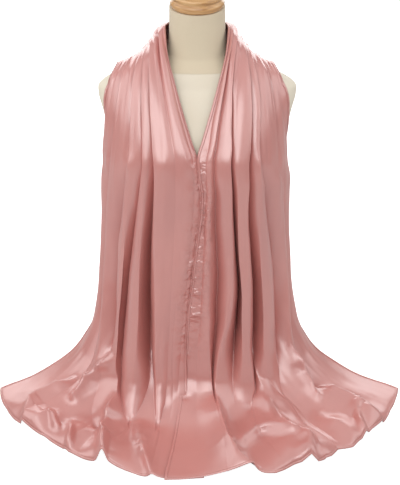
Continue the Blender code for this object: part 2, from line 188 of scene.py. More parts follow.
# %% Fold lines of the wearer's right side
OUTER_PLACES = {  # share of the length, and the places of the lines 12 to 14, alike on both sides
    0.0: (690, 765, 880), 0.06: (700, 688, 885), 0.11: (714, 686, 892), 0.17: (730, 682, 900),
    0.21: (750, 698, 900), 0.25: (750, 715, 910), 0.3: (750, 737, 910), 0.36: (760, 769, 920),
    0.4: (770, 794, 930), 0.46: (780, 822, 930), 0.53: (790, 850, 935), 0.6: (780, 850, 930),
    0.66: (740, 820, 910), 0.72: (680, 770, 880), 0.76: (648, 738, 864), 0.79: (625, 715, 850),
    0.815: (605, 695, 837), 0.835: (585, 675, 823),
}
OUTER_SPREAD = (580, 670, 820)  # the same on the table, from 0.85 on
SPREAD_RIGHT = (65, 92, 113, 121, 127, 135, 216, 231, 244, 316, 392)  # on the table
LINES_RIGHT = (  # share of the length, places of the lines 1 to 11, heights of all
    (0.06, (34, 93, 152, 212, 278, 263, 277, 410, 399, 548, 534),
     (1, 0, 9, 0, 24.5, 10.5, 0, 0, 23, 0, 21, 0, 24.5, 2, 23, 2)),
    (0.11, (32, 89, 149, 209, 274, 239, 253, 403, 379, 544, 513),
     (1, 0, 8, 0, 14, 7.5, 2.5, 2.5, 14, 0, 12.5, 0, 14, 1, 12.5, 0)),
    (0.17, (30, 85, 145, 205, 270, 210, 224, 395, 353, 540, 486),
     (1, 3.5, 8, 1, 9, 9, 5, 5, 8, 5, 7, 4.6, 7, 0, 6, 0)),
    (0.21, (30, 80, 135, 200, 280, 215, 229, 400, 355, 545, 487),
     (1, 3.5, 9.4, 2, 10, 9.6, 5, 5, 9, 4.6, 8, 4, 8, 0, 7, 0)),
    (0.25, (30, 85, 135, 200, 300, 251, 265, 405, 376, 550, 513),
     (1, 4, 10.7, 4.4, 10, 10.6, 4, 4, 9.7, 4.6, 9, 4, 8, 0, 8, 0)),
    (0.3, (32, 90, 140, 205, 300, 272, 286, 390, 384, 530, 528),
     (1, 4.7, 12, 8.3, 12, 11.6, 4, 4, 10, 4.6, 10, 4, 9, 0, 9, 0)),
    (0.36, (29, 85, 144, 219, 296, 286, 300, 381, 402, 512, 551),
     (1, 6.4, 13, 11.4, 14.6, 14, 3, 3, 12, 4, 11, 3.6, 10, -1, 11, 0)),
    (0.4, (34, 93, 148, 224, 285, 293, 307, 376, 421, 514, 594),
     (1, 6, 13, 12.5, 16, 14.6, -1.6, -1.6, 14, 2, 11.6, 0, 11, -2, 13, 0)),
    (0.46, (45, 102, 151, 223, 272, 305, 319, 368, 456, 514, 634),
     (1, 6.3, 13.4, 13.4, 17, 15.7, -10, -10, 16.3, -3, 12.6, -5.5, 13, -4, 15, 0)),
    (0.53, (30, 90, 136, 213, 258, 324, 338, 360, 504, 513, 691),
     (1, 7, 14, 14.3, 18, 17, -19, -19, 19, -7, 14, -9.5, 14, -8, 15, 0)),
    (0.6, (26, 87, 125, 196, 237, 331, 345, 347, 537, 512, 700),
     (1, 7, 14, 15, 19, 18.6, -27, -27, 22, -10, 14, -14.4, 14, -10, 14, 0)),
    (0.66, (20, 76, 110, 173, 213, 312, 326, 337, 531, 506, 645),
     (1, 7, 14, 16, 20, 20, -30.4, -30.4, 24, -12, 13.5, -15, 13, -7, 12, 0)),
    (0.72, (24, 75, 103, 153, 190, 274, 288, 329, 503, 482, 597),
     (1, 6, 13, 15, 20.6, 20.6, -26, -26, 24.6, -11.4, 12.4, -7, 11, -2, 10, 0)),
    (0.76, (36, 73, 105, 145, 178, 224, 245, 321, 458, 462, 564),
     (1, 5.4, 10.4, 13.6, 19, 19, -11, -10, 23, -8, 9.4, 0.6, 9.4, -0.4, 8.4, 0)),
    (0.79, (41, 66, 102, 135, 160, 188, 232, 303, 408, 414, 544),
     (1, 4.6, 6.7, 10, 17.3, 16.4, -3, -3, 21, -5, 8, 2, 8, 0.5, 7, 0)),
    (0.815, (48, 67, 104, 130, 150, 167, 231, 285, 359, 381, 520),
     (1, 4, 3, 5, 13.4, 12.3, 0, 1, 17, -1.5, 9, 2, 6.7, 1, 6, 0)),
    (0.835, (55, 75, 114, 129, 144, 156, 235, 271, 323, 364, 499),
     (1, 3, 1.7, 1.7, 9, 8, 0.7, 1.6, 12.5, 0.4, 8.5, 2, 5.3, 1, 5, 0)),
    (0.853, (60, 81, 118, 127, 137, 145, 235, 260, 289, 346, 470),
     (1, 2, 1, -0.6, 3.3, 2, 1, 2, 6, 1, 8, 2, 4.6, 1, 4.6, 0)),
    (0.87, (63, 89, 120, 126, 132, 138, 235, 251, 257, 330, 430),
     (1, 1.4, 1, -2, -4, -4, 0, 2, -3.6, 0, 8, 2, 4, 1, 4, 0)),
    (0.89, SPREAD_RIGHT, (1, 1, 1, 0, 1.4, 1.3, 1, 2.5, 2, 1.3, 7.4, 2, 3.3, 1, 3.3, 0)),
    (0.94, SPREAD_RIGHT, (0.5, 0.5, 0.6, 0, 1, 1, 0.7, 1.5, 1, 1, 4.4, 1, 2, 0.6, 2, 0.5)),
    (1.0, SPREAD_RIGHT, (0.5, 0.5, 0.3, 0, 0.5, 0.5, 0.4, 1, 0.6, 0.5, 2.6, 0.7, 1, 0.3, 1, 0.5)),
)
print("rows of fold lines on the right:", len(LINES_RIGHT))

# %% Fold lines of the wearer's left side
SPREAD_LEFT = (59, 110, 117, 127, 162, 200, 209, 218, 330, 400, 424)  # on the table
LINES_LEFT = (  # share of the length, places of the lines 1 to 11, heights of all
    (0.0, (35, 95, 155, 215, 280, 350, 415, 485, 499, 550, 620),
     (1, 0, 9, 2, 28, 12, 0, 26, -2, -2, 24, 0, 30, 4, 28, 4)),
    (0.06, (34, 89, 84, 204, 192, 325, 396, 381, 395, 530, 517),
     (1, 0, 9, 0, 24.5, 10.5, 0, 23, 0, 0, 21, 0, 24.5, 2, 23, 2)),
    (0.11, (32, 80, 70, 188, 160, 290, 370, 335, 349, 502, 470),
     (1, 0, 8, 0, 14, 7.5, 2.5, 14, 0, 0, 12.5, 0, 14, 1, 12.5, 0)),
    (0.17, (30, 70, 52, 170, 122, 250, 340, 280, 294, 470, 416),
     (1, 3, 8, 5, 8, 1, 8, 9, -0.6, -0.6, 8, 4.6, 7, 0, 5, 0)),
    (0.21, (30, 70, 51, 155, 103, 225, 370, 305, 319, 500, 442),
     (1, 3, 8, 5, 8.3, 0.4, 8.5, 10, -2.6, -2.6, 8.3, 4, 8, 0, 6, 0)),
    (0.25, (30, 80, 69, 165, 125, 225, 410, 362, 376, 530, 494),
     (1, 2, 10, 3.5, 10, -3, 10, 10, -2, -2, 9, 4, 8, 0, 7, 0)),
    (0.3, (32, 85, 87, 200, 178, 262, 405, 379, 393, 500, 501),
     (1, 2, 10, 3.6, 11, -3, 11, 11, -2, -2, 10, 4, 9, 0, 8, 0)),
    (0.36, (58, 95, 111, 234, 234, 287, 386, 387, 401, 470, 510),
     (1, 3, 10.7, 3.6, 12, -3.6, 12.3, 12.4, -3.3, -3.3, 12, 3, 10, -1, 10, 0)),
    (0.4, (44, 76, 103, 227, 245, 285, 364, 383, 397, 459, 549),
     (1, 2, 11, 0, 12.5, -6.3, 13, 13, -5, -5, 13, -1, 11, -2, 12, 0)),
    (0.46, (22, 53, 95, 217, 258, 272, 338, 383, 397, 451, 605),
     (1, 1, 11, -6, 14, -13, 14, 14, -8.6, -8.6, 14, -6.7, 13, -4, 14, 0)),
    (0.53, (44, 72, 128, 216, 276, 264, 324, 402, 416, 438, 664),
     (1, 1, 11, -11.7, 16.4, -19.6, 15.4, 15, -14, -14, 16, -10, 14, -8, 14, 0)),
    (0.6, (54, 86, 145, 208, 296, 271, 313, 425, 439, 426, 700),
     (1, 1, 11, -16.5, 18.7, -29, 17.7, 17.6, -21.7, -21.7, 17.5, -13.5, 14, -10, 13, 0)),
    (0.66, (62, 99, 144, 184, 273, 259, 299, 407, 421, 409, 670),
     (1, 1, 11, -17, 20, -34, 19, 19, -25, -25, 19, -16, 13, -7, 11, 0)),
    (0.72, (54, 107, 130, 145, 229, 252, 288, 352, 366, 392, 600),
     (1, 1, 9.6, -12, 20, -22, 19, 19, -17.6, -17.6, 18, -14, 11, -2, 9, 0)),
    (0.76, (57, 115, 122, 134, 207, 244, 291, 322, 328, 392, 535),
     (1, 1, 7.4, -6, 17.6, -5, 16, 15.7, -6, 6, 12.6, -7, 9.4, -0.4, 7.4, 0)),
    (0.79, (58, 117, 121, 126, 195, 238, 277, 299, 340, 402, 480),
     (1, 1, 5.3, -2.7, 15, 1, 10.6, 10, -0.7, 14, 7, -2.4, 8, 0.5, 6, 0)),
    (0.815, (59, 116, 122, 128, 187, 233, 251, 259, 348, 422, 446),
     (1, 1, 3, -1, 9, 3, 4, 3.3, 1, 17.4, 4, 0, 6.7, 1, 5, 0)),
    (0.835, (60, 116, 122, 131, 182, 232, 238, 244, 350, 437, 452),
     (1, 1, 2.3, 0, 3, 2.7, -3, -3.3, 0, 19, 5, 1, 5.3, 1, 4, 0)),
    (0.853, (60, 115, 121, 131, 176, 220, 226, 232, 344, 429, 451),
     (1, 1, 2, 0, 2.6, 2.4, 1.6, 1.5, 1.4, 18, 5, 2, 4.6, 1, 3.6, 0)),
    (0.87, (59, 113, 120, 130, 169, 210, 216, 224, 337, 414, 438),
     (1, 1, 1, 0, 2, 2, 2.4, 2.4, 2, 17.5, 4.4, 2, 4, 1, 3, 0)),
    (0.89, SPREAD_LEFT, (1, 1, 1, 0, 2, 2, 2, 2, 2, 16, 4, 2, 3.3, 1, 2.3, 0)),
    (0.94, SPREAD_LEFT, (0.5, 0.5, 0.6, 0, 1, 1, 1.3, 1.3, 1, 9.7, 2.4, 1, 2, 0.6, 1.4, 0.5)),
    (1.0, SPREAD_LEFT, (0.5, 0.5, 0.3, 0, 0.7, 0.7, 1, 1, 0.7, 5.6, 1.4, 0.7, 1, 0.3, 1, 0.5)),
)
print("rows of fold lines on the left:", len(LINES_LEFT))

# %% [markdown]
# ## From lines to a folded profile
#
# Both tables become one, from the hem at -X round the nape to the hem at +X. Between two lines the height
# rises by a power of the way, which keeps the crest round and the valley narrow. A column of the mesh belongs
# to one interval between lines and follows it the whole length, so the creases run with the mesh's own edges.

# %% From fold lines to heights
CRISP = (  # share of the length, and how sharp the valleys are: 1 is a plain V, more keeps the crests flat
    (0.00, 2.0), (0.12, 2.4), (0.20, 3.2), (0.34, 3.2), (0.42, 2.2), (0.70, 1.8), (0.84, 2.2), (1.00, 2.0),
)
MEAN_WIDTH = 0.26  # of the bunched cloth, to weigh an interval's width against its height
FEWEST_COLUMNS = 5
CROWDING = 0.11  # how far the columns gather beside the lines


def signed_lines():
    """Both tables as one: shares of the length, places across in shares of the width, heights in metres."""
    right = [(-share, places, heights) for share, places, heights in LINES_RIGHT[::-1]]
    shares, inner, heights = zip(*right, *LINES_LEFT)
    outer = [OUTER_PLACES.get(abs(share), OUTER_SPREAD) for share in shares]
    places = [(0, *near, *far, 1000) for near, far in zip(inner, outer)]
    return np.array(shares), np.array(places) / 1000, np.array(heights) / 1000


LINE_SHARES, LINE_PLACES, LINE_HEIGHTS = signed_lines()
LINES = LINE_PLACES.shape[1]


def columns_between_lines(total):
    """For each column of the mesh, the line before it and how far it is from there to the next line.
    Intervals that are long on the folded cloth get more columns."""
    wide = np.abs(np.diff(LINE_PLACES, axis=1)) * MEAN_WIDTH
    high = np.abs(np.diff(LINE_HEIGHTS, axis=1))
    length = np.hypot(wide, high).mean(axis=0)
    counts = np.maximum(np.round(length / length.sum() * total).astype(int), FEWEST_COLUMNS)
    line = np.repeat(np.arange(LINES - 1), counts)
    part = np.concatenate([np.arange(n) / n for n in counts])
    part -= CROWDING * np.sin(2 * math.pi * part)
    return np.append(line, LINES - 2), np.append(part, 1.0)


def fold_profile(along, line, part):
    """Place across the ground and height over it, for every row and column."""
    places = curve_through(LINE_SHARES, LINE_PLACES, along)
    heights = curve_through(LINE_SHARES, LINE_HEIGHTS, along)
    crisp = np.interp(np.abs(along), *np.array(CRISP).T)[:, None]
    here, there, t = heights[:, line], heights[:, line + 1], part[None]
    up = 1 - (1 - np.where(here < there, t, 1 - t)) ** crisp
    height = np.minimum(here, there) + np.abs(there - here) * up
    return places[:, line] * (1 - t) + places[:, line + 1] * t, height


print(LINES, "lines, from", LINE_HEIGHTS.min() * 1000, "to", LINE_HEIGHTS.max() * 1000, "mm high")

# %% [markdown]
# ## Creases and arches on the table
#
# On the table the cloth lies in ridges that start at a fold's foot and run out to the hem. Each is a short
# chain of points with a height and a reach on either side: a small reach makes the steep side, a large one
# the gentle side. A height under zero is a dent. Small arches lift the edge where a ridge ends in it.

# %% Creases and arches on the table
CREASES = {  # height, reach to the left of its course, to the right, points: all in millimetres
    "flap_right": (27, 36, 7, ((-222, -110, 54), (-265, -124, 28), (-301, -142, 11), (-326, -165, 3),
        (-344, -198, 1))),
    "spur_right": (30, 10, 8, ((-148, -133, 119), (-172, -128, 86), (-195, -133, 58), (-226, -162, 29))),
    "shelf_right": (-12, 8, 12, ((-194, -232, 8), (-178, -230, 12), (-160, -224, 16))),
    "ridge_right": (27, 18, 8, ((-147, -170, 52), (-159, -206, 25), (-173, -253, 5), (-172, -326, 0),
        (-167, -339, 0))),
    "ridge_middle": (18, 20, 6, ((-108, -220, 25), (-107, -263, 7), (-92, -326, 0), (-76, -367, 0))),
    "dent_front": (-4, 5, 6, ((-31, -192, 53), (-21, -191, 54), (-18, -192, 54))),
    "ridge_sharp": (36, 8, 28, ((31, -184, 61), (37, -206, 39), (44, -248, 14), (53, -304, 1), (72, -339, 0),
        (94, -357, 0))),
    "twin": (13, 6, 6, ((112, -175, 58), (128, -196, 36), (144, -224, 18), (168, -261, 3), (184, -274, 0))),
    "hump": (18, 30, 10, ((63, -325, 0), (81, -278, 3), (104, -250, 11), (126, -244, 11), (147, -256, 6),
        (169, -269, 2), (186, -284, 0))),
    "line_left": (20, 8, 10, ((173, -101, 113), (183, -108, 85), (197, -119, 61), (209, -138, 44),
        (223, -158, 30))),
    "pit_left": (-10, 8, 8, ((203, -107, 63), (218, -116, 49), (233, -129, 37))),
    "flap_left": (26, 7, 42, ((223, -129, 41), (254, -133, 28), (287, -147, 14), (328, -176, 2))),
}
ARCHES = {  # height, half width, points
    "arch_right": (15, 16, ((-277, -171, 11), (-278, -203, 4), (-278, -247, 0))),
    "arch_right_too": (15, 13, ((-233, -212, 9), (-239, -248, 1), (-243, -293, 0))),
    "arch_front": (17, 14, ((-164, -254, 5), (-168, -294, 0), (-170, -338, 0))),
    "arch_left": (20, 16, ((194, -241, 6), (196, -288, 0), (194, -328, 0))),
    "arch_left_side": (13, 13, ((291, -156, 11), (305, -200, 2), (316, -246, 0))),
}


def beside_chain(points, chain):
    """For every point: its distance from a chain, whether it lies to the left, and the share of it done."""
    chain = np.array(chain)
    run = run_along(chain)
    nearest = np.full(points.shape[:-1], np.inf)
    on_left, done = np.zeros(points.shape[:-1], bool), np.zeros(points.shape[:-1])
    for start, end, begun in zip(chain, chain[1:], run):
        length = np.linalg.norm(end - start)
        course = (end - start) / length
        offset = points - start
        t = np.clip(offset @ course, 0.0, length)
        gap = offset - t[..., None] * course
        distance = np.linalg.norm(gap, axis=-1)
        nearer = distance < nearest
        turned = course[0] * gap[..., 1] - course[1] * gap[..., 0]
        on_left = np.where(nearer, turned > 0, on_left)
        done = np.where(nearer, (begun + t) / run[-1], done)
        nearest = np.where(nearer, distance, nearest)
    return nearest, on_left, done


def crease_height(points, height, left_reach, right_reach, chain):
    """Height of one crease at every point: a sharp ridge along a chain, lower at the chain's two ends."""
    distance, on_left, done = beside_chain(points, chain)
    reach = np.where(on_left, left_reach, right_reach)
    soft = 0.3 * reach
    taper = np.minimum(fade(-0.05, 0.30, done), 1 - 0.35 * fade(0.75, 1.0, done))
    return height * taper * np.exp(-(np.hypot(distance, soft) - soft) / (0.8 * reach))


def arch_height(points, height, half_width, chain):
    """Height of one arch at every point: a soft tunnel that opens towards the end of its chain."""
    distance, _, done = beside_chain(points, chain)
    rounded = 0.5 + 0.5 * np.cos(np.pi * np.clip(distance / half_width, 0.0, 1.0))
    return height * fade(0.0, 0.9, done) * rounded


print("creases:", ", ".join(CREASES))
print("arches:", ", ".join(ARCHES))

# %% [markdown]
# ## The edge on the table
#
# The hem is not a true circle: each side's table says how far it reaches past the band's own end. Just before
# the edge the cloth stands a little off the table, in uneven swells, and comes down to it at the hem.

# %% The hem's reach and the swell before it
HEM_REACH = {  # hundredths of the way across, and millimetres beyond the band's own end
    "right": ((0, -9), (4, 0), (10, 14), (20, -2), (30, -5), (40, -20), (50, -29), (60, -28), (70, -23),
              (80, -21), (90, -14), (100, -7)),
    "left": ((0, 2), (10, 5), (15, 9), (20, 17), (25, 1), (30, 12), (35, 9), (40, -8), (45, 0), (50, -9),
             (60, -16), (70, -14), (80, -16), (90, -10), (100, 0)),
}
HEM_FROM = 0.87  # share of the length from which the reach counts
SWELL = {  # hundredths of the way across, and millimetres off the table
    "right": ((0, 5), (10, 6), (18, 12), (26, 20), (33, 9), (42, 20), (50, 12), (58, 26), (66, 12),
              (76, 18), (88, 6), (100, 2)),
    "left": ((0, 5), (10, 6), (17, 8), (26, 23), (34, 14), (42, 9), (50, 21), (58, 10), (67, 18), (76, 8),
             (85, 10), (100, 2)),
}
SWELL_FROM, SWELL_TOP, SWELL_TO = 0.86, 0.945, 1.00  # shares of the length
SWELL_WANDER = 0.012  # how far its top wanders


def hem_reach(along, across):
    """How far the cloth is drawn outwards on the table, so that its hem has the photograph's outline."""
    return by_side(HEM_REACH, along, across) * fade(HEM_FROM, 1.0, np.abs(along))[:, None]


def swell(along, across):
    """How far the cloth stands off the table just before its edge."""
    share = np.abs(along)[:, None]
    top = SWELL_TOP + SWELL_WANDER * np.sin(17 * across + 3 * np.sign(along[:, None]))
    fall = np.sqrt(np.clip(1 - np.clip((share - top) / (SWELL_TO - top), 0.0, 1.0) ** 2, 0.0, 1.0))
    return by_side(SWELL, along, across) * fade(SWELL_FROM, top, share) * fall


print("highest swell in mm:", max(high for table in SWELL.values() for _, high in table))

# %% [markdown]
# ## Draping the cloth
#
# Blender's cloth simulation would find its own folds, never the ones of this shawl. So the sheet is a plain
# grid whose points are laid on the band, lifted by the fold lines and the creases, kept above the table and
# pushed clear of the dress form. The ripples are sums of sines of odd lengths, so that they never repeat and
# are the same each time. The two inner edges meet at the centre front, wander a little to either side on
# their way down, as basted edges do, and lie one over the other on the table.

# %% The centre front
FRONT_GAP = 0.0006  # between the two inner edges at the centre front
HANGING_DRIFT = (  # hundredths of the length, and millimetres that both inner edges wander
    (0, 0), (36, 0), (40, 3), (43, 8), (47, 6.5), (51, 0.5), (56, -6), (60, -10), (64, -16), (68, -19),
    (72, -21.5),
)
DRIFT = {  # on the table one edge lies over the other
    "right": HANGING_DRIFT + ((80, -19), (88, -6), (100, 12)),
    "left": HANGING_DRIFT + ((80, -30), (88, -40), (100, -56)),
}
DRIFT_REACH = 0.30  # share of the cloth's width that wanders along
LAP_LIFT = 0.0026  # the upper edge over the lower one on the table
LAP_BEGINS, LAP_ENDS = (0.76, 0.84), (0.12, 0.30)  # shares of the length, and of the way across
BASTED_FROM, BASTED_TO = 0.38, 0.72  # shares of the length between which the two edges are basted together
PUCKER_HEIGHT, PUCKER_REACH = 0.0012, 0.035  # in metres, and as a share of the width


def pucker(along, across):
    """The gathers beside the basted edges."""
    share = np.abs(along)[:, None]
    held = fade(BASTED_FROM - 0.02, BASTED_FROM + 0.02, share) - fade(BASTED_TO, BASTED_TO + 0.04, share)
    wave = np.sin(330 * share + 1.5 * np.sin(57 * share)) + 0.6 * np.sin(517 * share + 2.0)
    return PUCKER_HEIGHT * np.exp(-across / PUCKER_REACH) * held * wave


drifts = [drift for _, drift in HANGING_DRIFT]
print("the inner edges wander between X", min(drifts), "and", max(drifts), "mm")

# %% Laying the cloth
SHEET_CLEARANCE = 0.0014  # least distance from the dress form to the cloth
FREE_BELOW, FREE_BEYOND = 0.38, 0.115  # lower than this and further out in Y, the cloth is clear of the form
SETTLES = (0.75, 0.95)  # over these shares of the length the cloth comes to rest on the table
CALMED = 0.55  # share of the ripples that is gone where it rests
STRETCH = (1.025, 0.985)  # the right and the left fall's width against the band's
CREASES_FROM = 0.70  # share of the length from which the table's creases count
BUST, BUST_REACH, BUST_RISE = 0.368, 0.016, 0.0018  # where the folds break over the bust, and how unevenly
BREAK_LOWER, BREAK_RISE = 0.035, 0.003  # the left fall's break is lower and fuller


def ripples(along, across):
    """Small unevenness of the cloth, in metres: long waves down the folds and finer ones over them."""
    s, u = along[:, None], across
    wave = 0.0011 * np.sin(31 * u + 9 * s + 1.3) * np.sin(14 * s - 7 * u)
    wave += 0.0007 * np.sin(67 * u - 17 * s + 2.1) * np.sin(23 * s + 11 * u + 0.4)
    wave += 0.0004 * np.sin(113 * u + 29 * s) * np.sin(41 * s - 19 * u + 1.7)
    return wave


def bust_break(share, across, side):
    """The folds break where the cloth leaves the bust."""
    uneven = np.sin(23 * across + 2.0) + 0.7 * np.sin(41 * across + side)
    broken = BUST_RISE * bump(BUST, BUST_REACH, share) * uneven * fade(0.05, 0.2, across)
    fuller = BREAK_RISE * (side > 0) * bump(BUST + BREAK_LOWER, 0.025, share) * fade(0.02, 0.10, across)
    return broken + fuller


def clear_of_form(points, form):
    """Points that lie nearer to the dress form than the clearance are moved straight out."""
    flat = points.reshape(-1, 3)
    for k, point in enumerate(flat):
        if point[2] < FREE_BELOW and abs(point[1]) > FREE_BEYOND:
            continue
        place, normal, _, _ = form.find_nearest(Vector(point))
        short = SHEET_CLEARANCE - (Vector(point) - place).dot(normal)
        if short > 0:
            flat[k] = point + short * np.array(normal)
    return flat.reshape(points.shape)


def drape(along, line, part, form):
    """The cloth's inner face, for every row and column of the sheet."""
    across, height = fold_profile(along, line, part)
    share = np.abs(along)[:, None]
    side = np.where(along < 0, -1.0, 1.0)[:, None]
    settled = fade(*SETTLES, share)
    height = height + ripples(along, across) * (1 - CALMED * settled) + pucker(along, across)
    height += bust_break(share, across, side) + swell(along, across)
    height += LAP_LIFT * (side > 0) * fade(*LAP_BEGINS, share) * (1 - fade(*LAP_ENDS, across))
    drift = by_side(DRIFT, along, share) * (1 - fade(0.0, DRIFT_REACH, across))
    points = ground(along, across)
    low = np.abs(along) > CREASES_FROM
    placed = 1000 * (points[low] + drift[low][..., None] * (1, 0, 0))
    height[low] += sum(crease_height(placed, *crease) for crease in CREASES.values()) / 1000
    height[low] += sum(arch_height(placed, *arch) for arch in ARCHES.values()) / 1000
    points += height[..., None] * ground_normal(along, across)
    stretch = np.where(side < 0, *STRETCH)
    points[..., 0] *= 1 + (stretch - 1) * (1 - settled)
    points[..., 0] += side * FRONT_GAP / 2 + drift
    points[..., :2] += unit(points[..., :2]) * hem_reach(along, across)[..., None]
    points[..., 2] = np.maximum(points[..., 2], 0.0)
    return clear_of_form(points, form)


print("cloth to form, at least, in mm:", 1000 * SHEET_CLEARANCE)

# %% [markdown]
# ## The dress form
#
# A dress form is a stuffed body under a tight knit cover, with a separate cover on the neck. Each is lofted
# from a circle: extruding the open edge upwards and scaling each new ring to its section's size keeps the
# faces in even rings. A first loft, without the seam, is only the skin that the cloth is kept clear of.

# %% The dress form
TORSO = (  # height, half width, half depth and middle in Y in millimetres, tilt in degrees
    (0, 148, 96, 0, 0), (6, 155, 103, 0, 0), (70, 158, 106, 0, 0), (160, 144, 98, 0, 0),
    (250, 122, 88, -2, 0), (330, 129, 93, -8, 0), (410, 148, 101, -15, 0), (470, 158, 105, -20, 0),
    (520, 165, 100, -15, 0), (560, 174, 90, -7, 0), (585, 181, 81, -3, 0), (599, 182, 75, -1, 0),
    (610, 174, 69, 0, 0.5), (622, 153, 64, 0, 1), (633, 124, 60, 0, 2), (644, 89, 56, 1, 4),
    (655, 66, 53, 2, 6), (666, 56, 51, 3, 8),
)
NECK = (  # its cover comes down over the torso's to a seam at the throat
    (638, 109, 59, 0.5, 3), (644, 89.9, 57, 1, 4), (655, 66.8, 54, 2, 6), (666, 56.8, 51.8, 3, 8),
    (685, 52.5, 50, 3, 8.5), (715, 50.5, 49, 2.5, 9.5), (744, 50, 48, 2, 10),
)
FORM_SIDES, SKIN_RINGS, TORSO_RINGS, NECK_RINGS = 96, 60, 54, 24


def lofted(sections, rings, lift=0.0, closed_below=True, closed_above=True):
    """A tube of elliptic rings through the sections, as a bmesh."""
    table = np.array(sections) / (1000, 1000, 1000, 1000, 1)
    heights = np.interp(np.linspace(0, len(table) - 1, rings), np.arange(len(table)), table[:, 0])
    rows = curve_through(table[:, 0], table[:, 1:], heights)
    bm = bmesh.new()
    ring = bmesh.ops.create_circle(bm, segments=FORM_SIDES, radius=1.0)["verts"]
    bottom = edges = list(bm.edges)
    for k, (height, (half_width, half_depth, middle, tilt)) in enumerate(zip(heights, rows)):
        if k:
            made = bmesh.ops.extrude_edge_only(bm, edges=edges)["geom"]
            ring = [g for g in made if isinstance(g, bmesh.types.BMVert)]
            edges = [g for g in made if isinstance(g, bmesh.types.BMEdge)]
            bmesh.ops.transform(bm, matrix=place.inverted(), verts=ring)
        place = Matrix.Translation((0, middle, height + lift)) @ Matrix.Rotation(math.radians(tilt), 4, "X")
        place = place @ Matrix.Diagonal((half_width, half_depth, 1, 1))
        bmesh.ops.transform(bm, matrix=place, verts=ring)
    for wanted, rim in ((closed_below, bottom), (closed_above, edges)):
        if wanted:
            bmesh.ops.contextual_create(bm, geom=rim)
    bmesh.ops.recalc_face_normals(bm, faces=bm.faces)
    return bm


body = lofted(TORSO + NECK[4:], SKIN_RINGS, closed_below=False, closed_above=False)
form_skin = BVHTree.FromBMesh(body)
print("faces of the form's skin:", len(body.faces))
body.free()

# %% [markdown]
# ## Materials by nodes
#
# Each finish is a small tree of nodes round a Principled shader. Patterns read Object coordinates, or the
# sheet's own UV map where they follow the cloth. A few helpers name the nodes that the finishes share.


# %% A finish and its nodes
def new_finish(name, **sockets):
    """A material, with plain values set on its shader's own sockets."""
    finish = bpy.data.materials.new(name)
    finish.use_nodes = True
    for socket, value in sockets.items():
        finish.node_tree.nodes["Principled BSDF"].inputs[socket.replace("_", " ")].default_value = value
    return finish


def drive(finish, socket, output):
    """Lets a node's output set one socket of the finish's shader."""
    finish.node_tree.links.new(output, finish.node_tree.nodes["Principled BSDF"].inputs[socket])


def node(finish, kind, inputs=(), **settings):
    """A new node: settings are its properties, inputs are (socket, value or output socket) pairs."""
    made = finish.node_tree.nodes.new("ShaderNode" + kind)
    for key, value in settings.items():
        setattr(made, key, value)
    for socket, value in inputs:
        if isinstance(value, bpy.types.NodeSocket):
            finish.node_tree.links.new(value, made.inputs[socket])
        else:
            made.inputs[socket].default_value = value
    return made


def ramp(finish, factor, *stops):
    """A colour ramp through (position, colour) stops."""
    made = node(finish, "ValToRGB", [("Fac", factor)])
    elements = made.color_ramp.elements
    while len(elements) < len(stops):
        elements.new(0.5)
    for element, (position, colour) in zip(elements, stops):
        element.position = position
        element.color = (*colour, 1.0)
    return made.outputs["Color"]


def noise(finish, place, detail, scale=1.0, warp=0.0):
    """Soft noise that reads these coordinates."""
    inputs = [("Vector", place), ("Scale", scale), ("Detail", detail), ("Distortion", warp)]
    return node(finish, "TexNoise", inputs).outputs["Fac"]


def stretched(finish, place, scale, turn=0.0):
    """Coordinates scaled one way more than another, so that a pattern runs along."""
    inputs = [("Vector", place), ("Scale", scale), ("Rotation", (0.0, 0.0, turn))]
    return node(finish, "Mapping", inputs).outputs["Vector"]


def ranged(finish, value, start, end, low=0.0, high=1.0, kind="LINEAR"):
    """A value from low at start to high at end. SMOOTHSTEP makes the change a soft one."""
    inputs = [("Value", value), ("From Min", start), ("From Max", end), ("To Min", low), ("To Max", high)]
    return node(finish, "MapRange", inputs, interpolation_type=kind).outputs["Result"]


def product(finish, first, *others):
    """Values multiplied one after the other."""
    for other in others:
        first = node(finish, "Math", [(0, first), (1, other)], operation="MULTIPLY").outputs["Value"]
    return first


def relief(finish, height, strength, distance, *under):
    """Bumps of this height, on top of another relief if one is given."""
    inputs = [("Height", height), ("Strength", strength), ("Distance", distance)]
    return node(finish, "Bump", inputs + [("Normal", normal) for normal in under]).outputs["Normal"]


print("materials of the model:", len(bpy.data.materials))

# %% [markdown]
# ## Satin
#
# Satin floats its warp threads over the weft, so it is smooth and its gloss runs out across the threads. The
# weave is far too fine to see whole, but it gives the gloss its grain. The colour is a dusty rose that turns
# paler and warmer where the cloth was handled. The sheet's map is its flat cut in metres, so the gathers
# beside the basted edges are placed by measure.

# %% Satin: colour and gloss
satin = new_finish("satin", Roughness=0.33, Anisotropic=0.60, IOR=1.75, Specular_IOR_Level=1.0,
                   Sheen_Weight=0.08, Sheen_Roughness=0.35, Sheen_Tint=(1.0, 0.80, 0.76, 1.0))
own_map = node(satin, "UVMap", uv_map="cloth").outputs["UV"]
patches = noise(satin, own_map, 3.0, scale=7.0)
rose = ramp(satin, patches, (0.30, (0.560, 0.215, 0.190)), (0.70, (0.610, 0.245, 0.215)))
drive(satin, "Base Color", rose)
drive(satin, "Roughness", ranged(satin, patches, 0.3, 0.7, 0.29, 0.35))
drive(satin, "Tangent", node(satin, "Tangent", direction_type="UV_MAP", uv_map="cloth").outputs["Tangent"])
print("nodes for colour and gloss:", len(satin.node_tree.nodes))

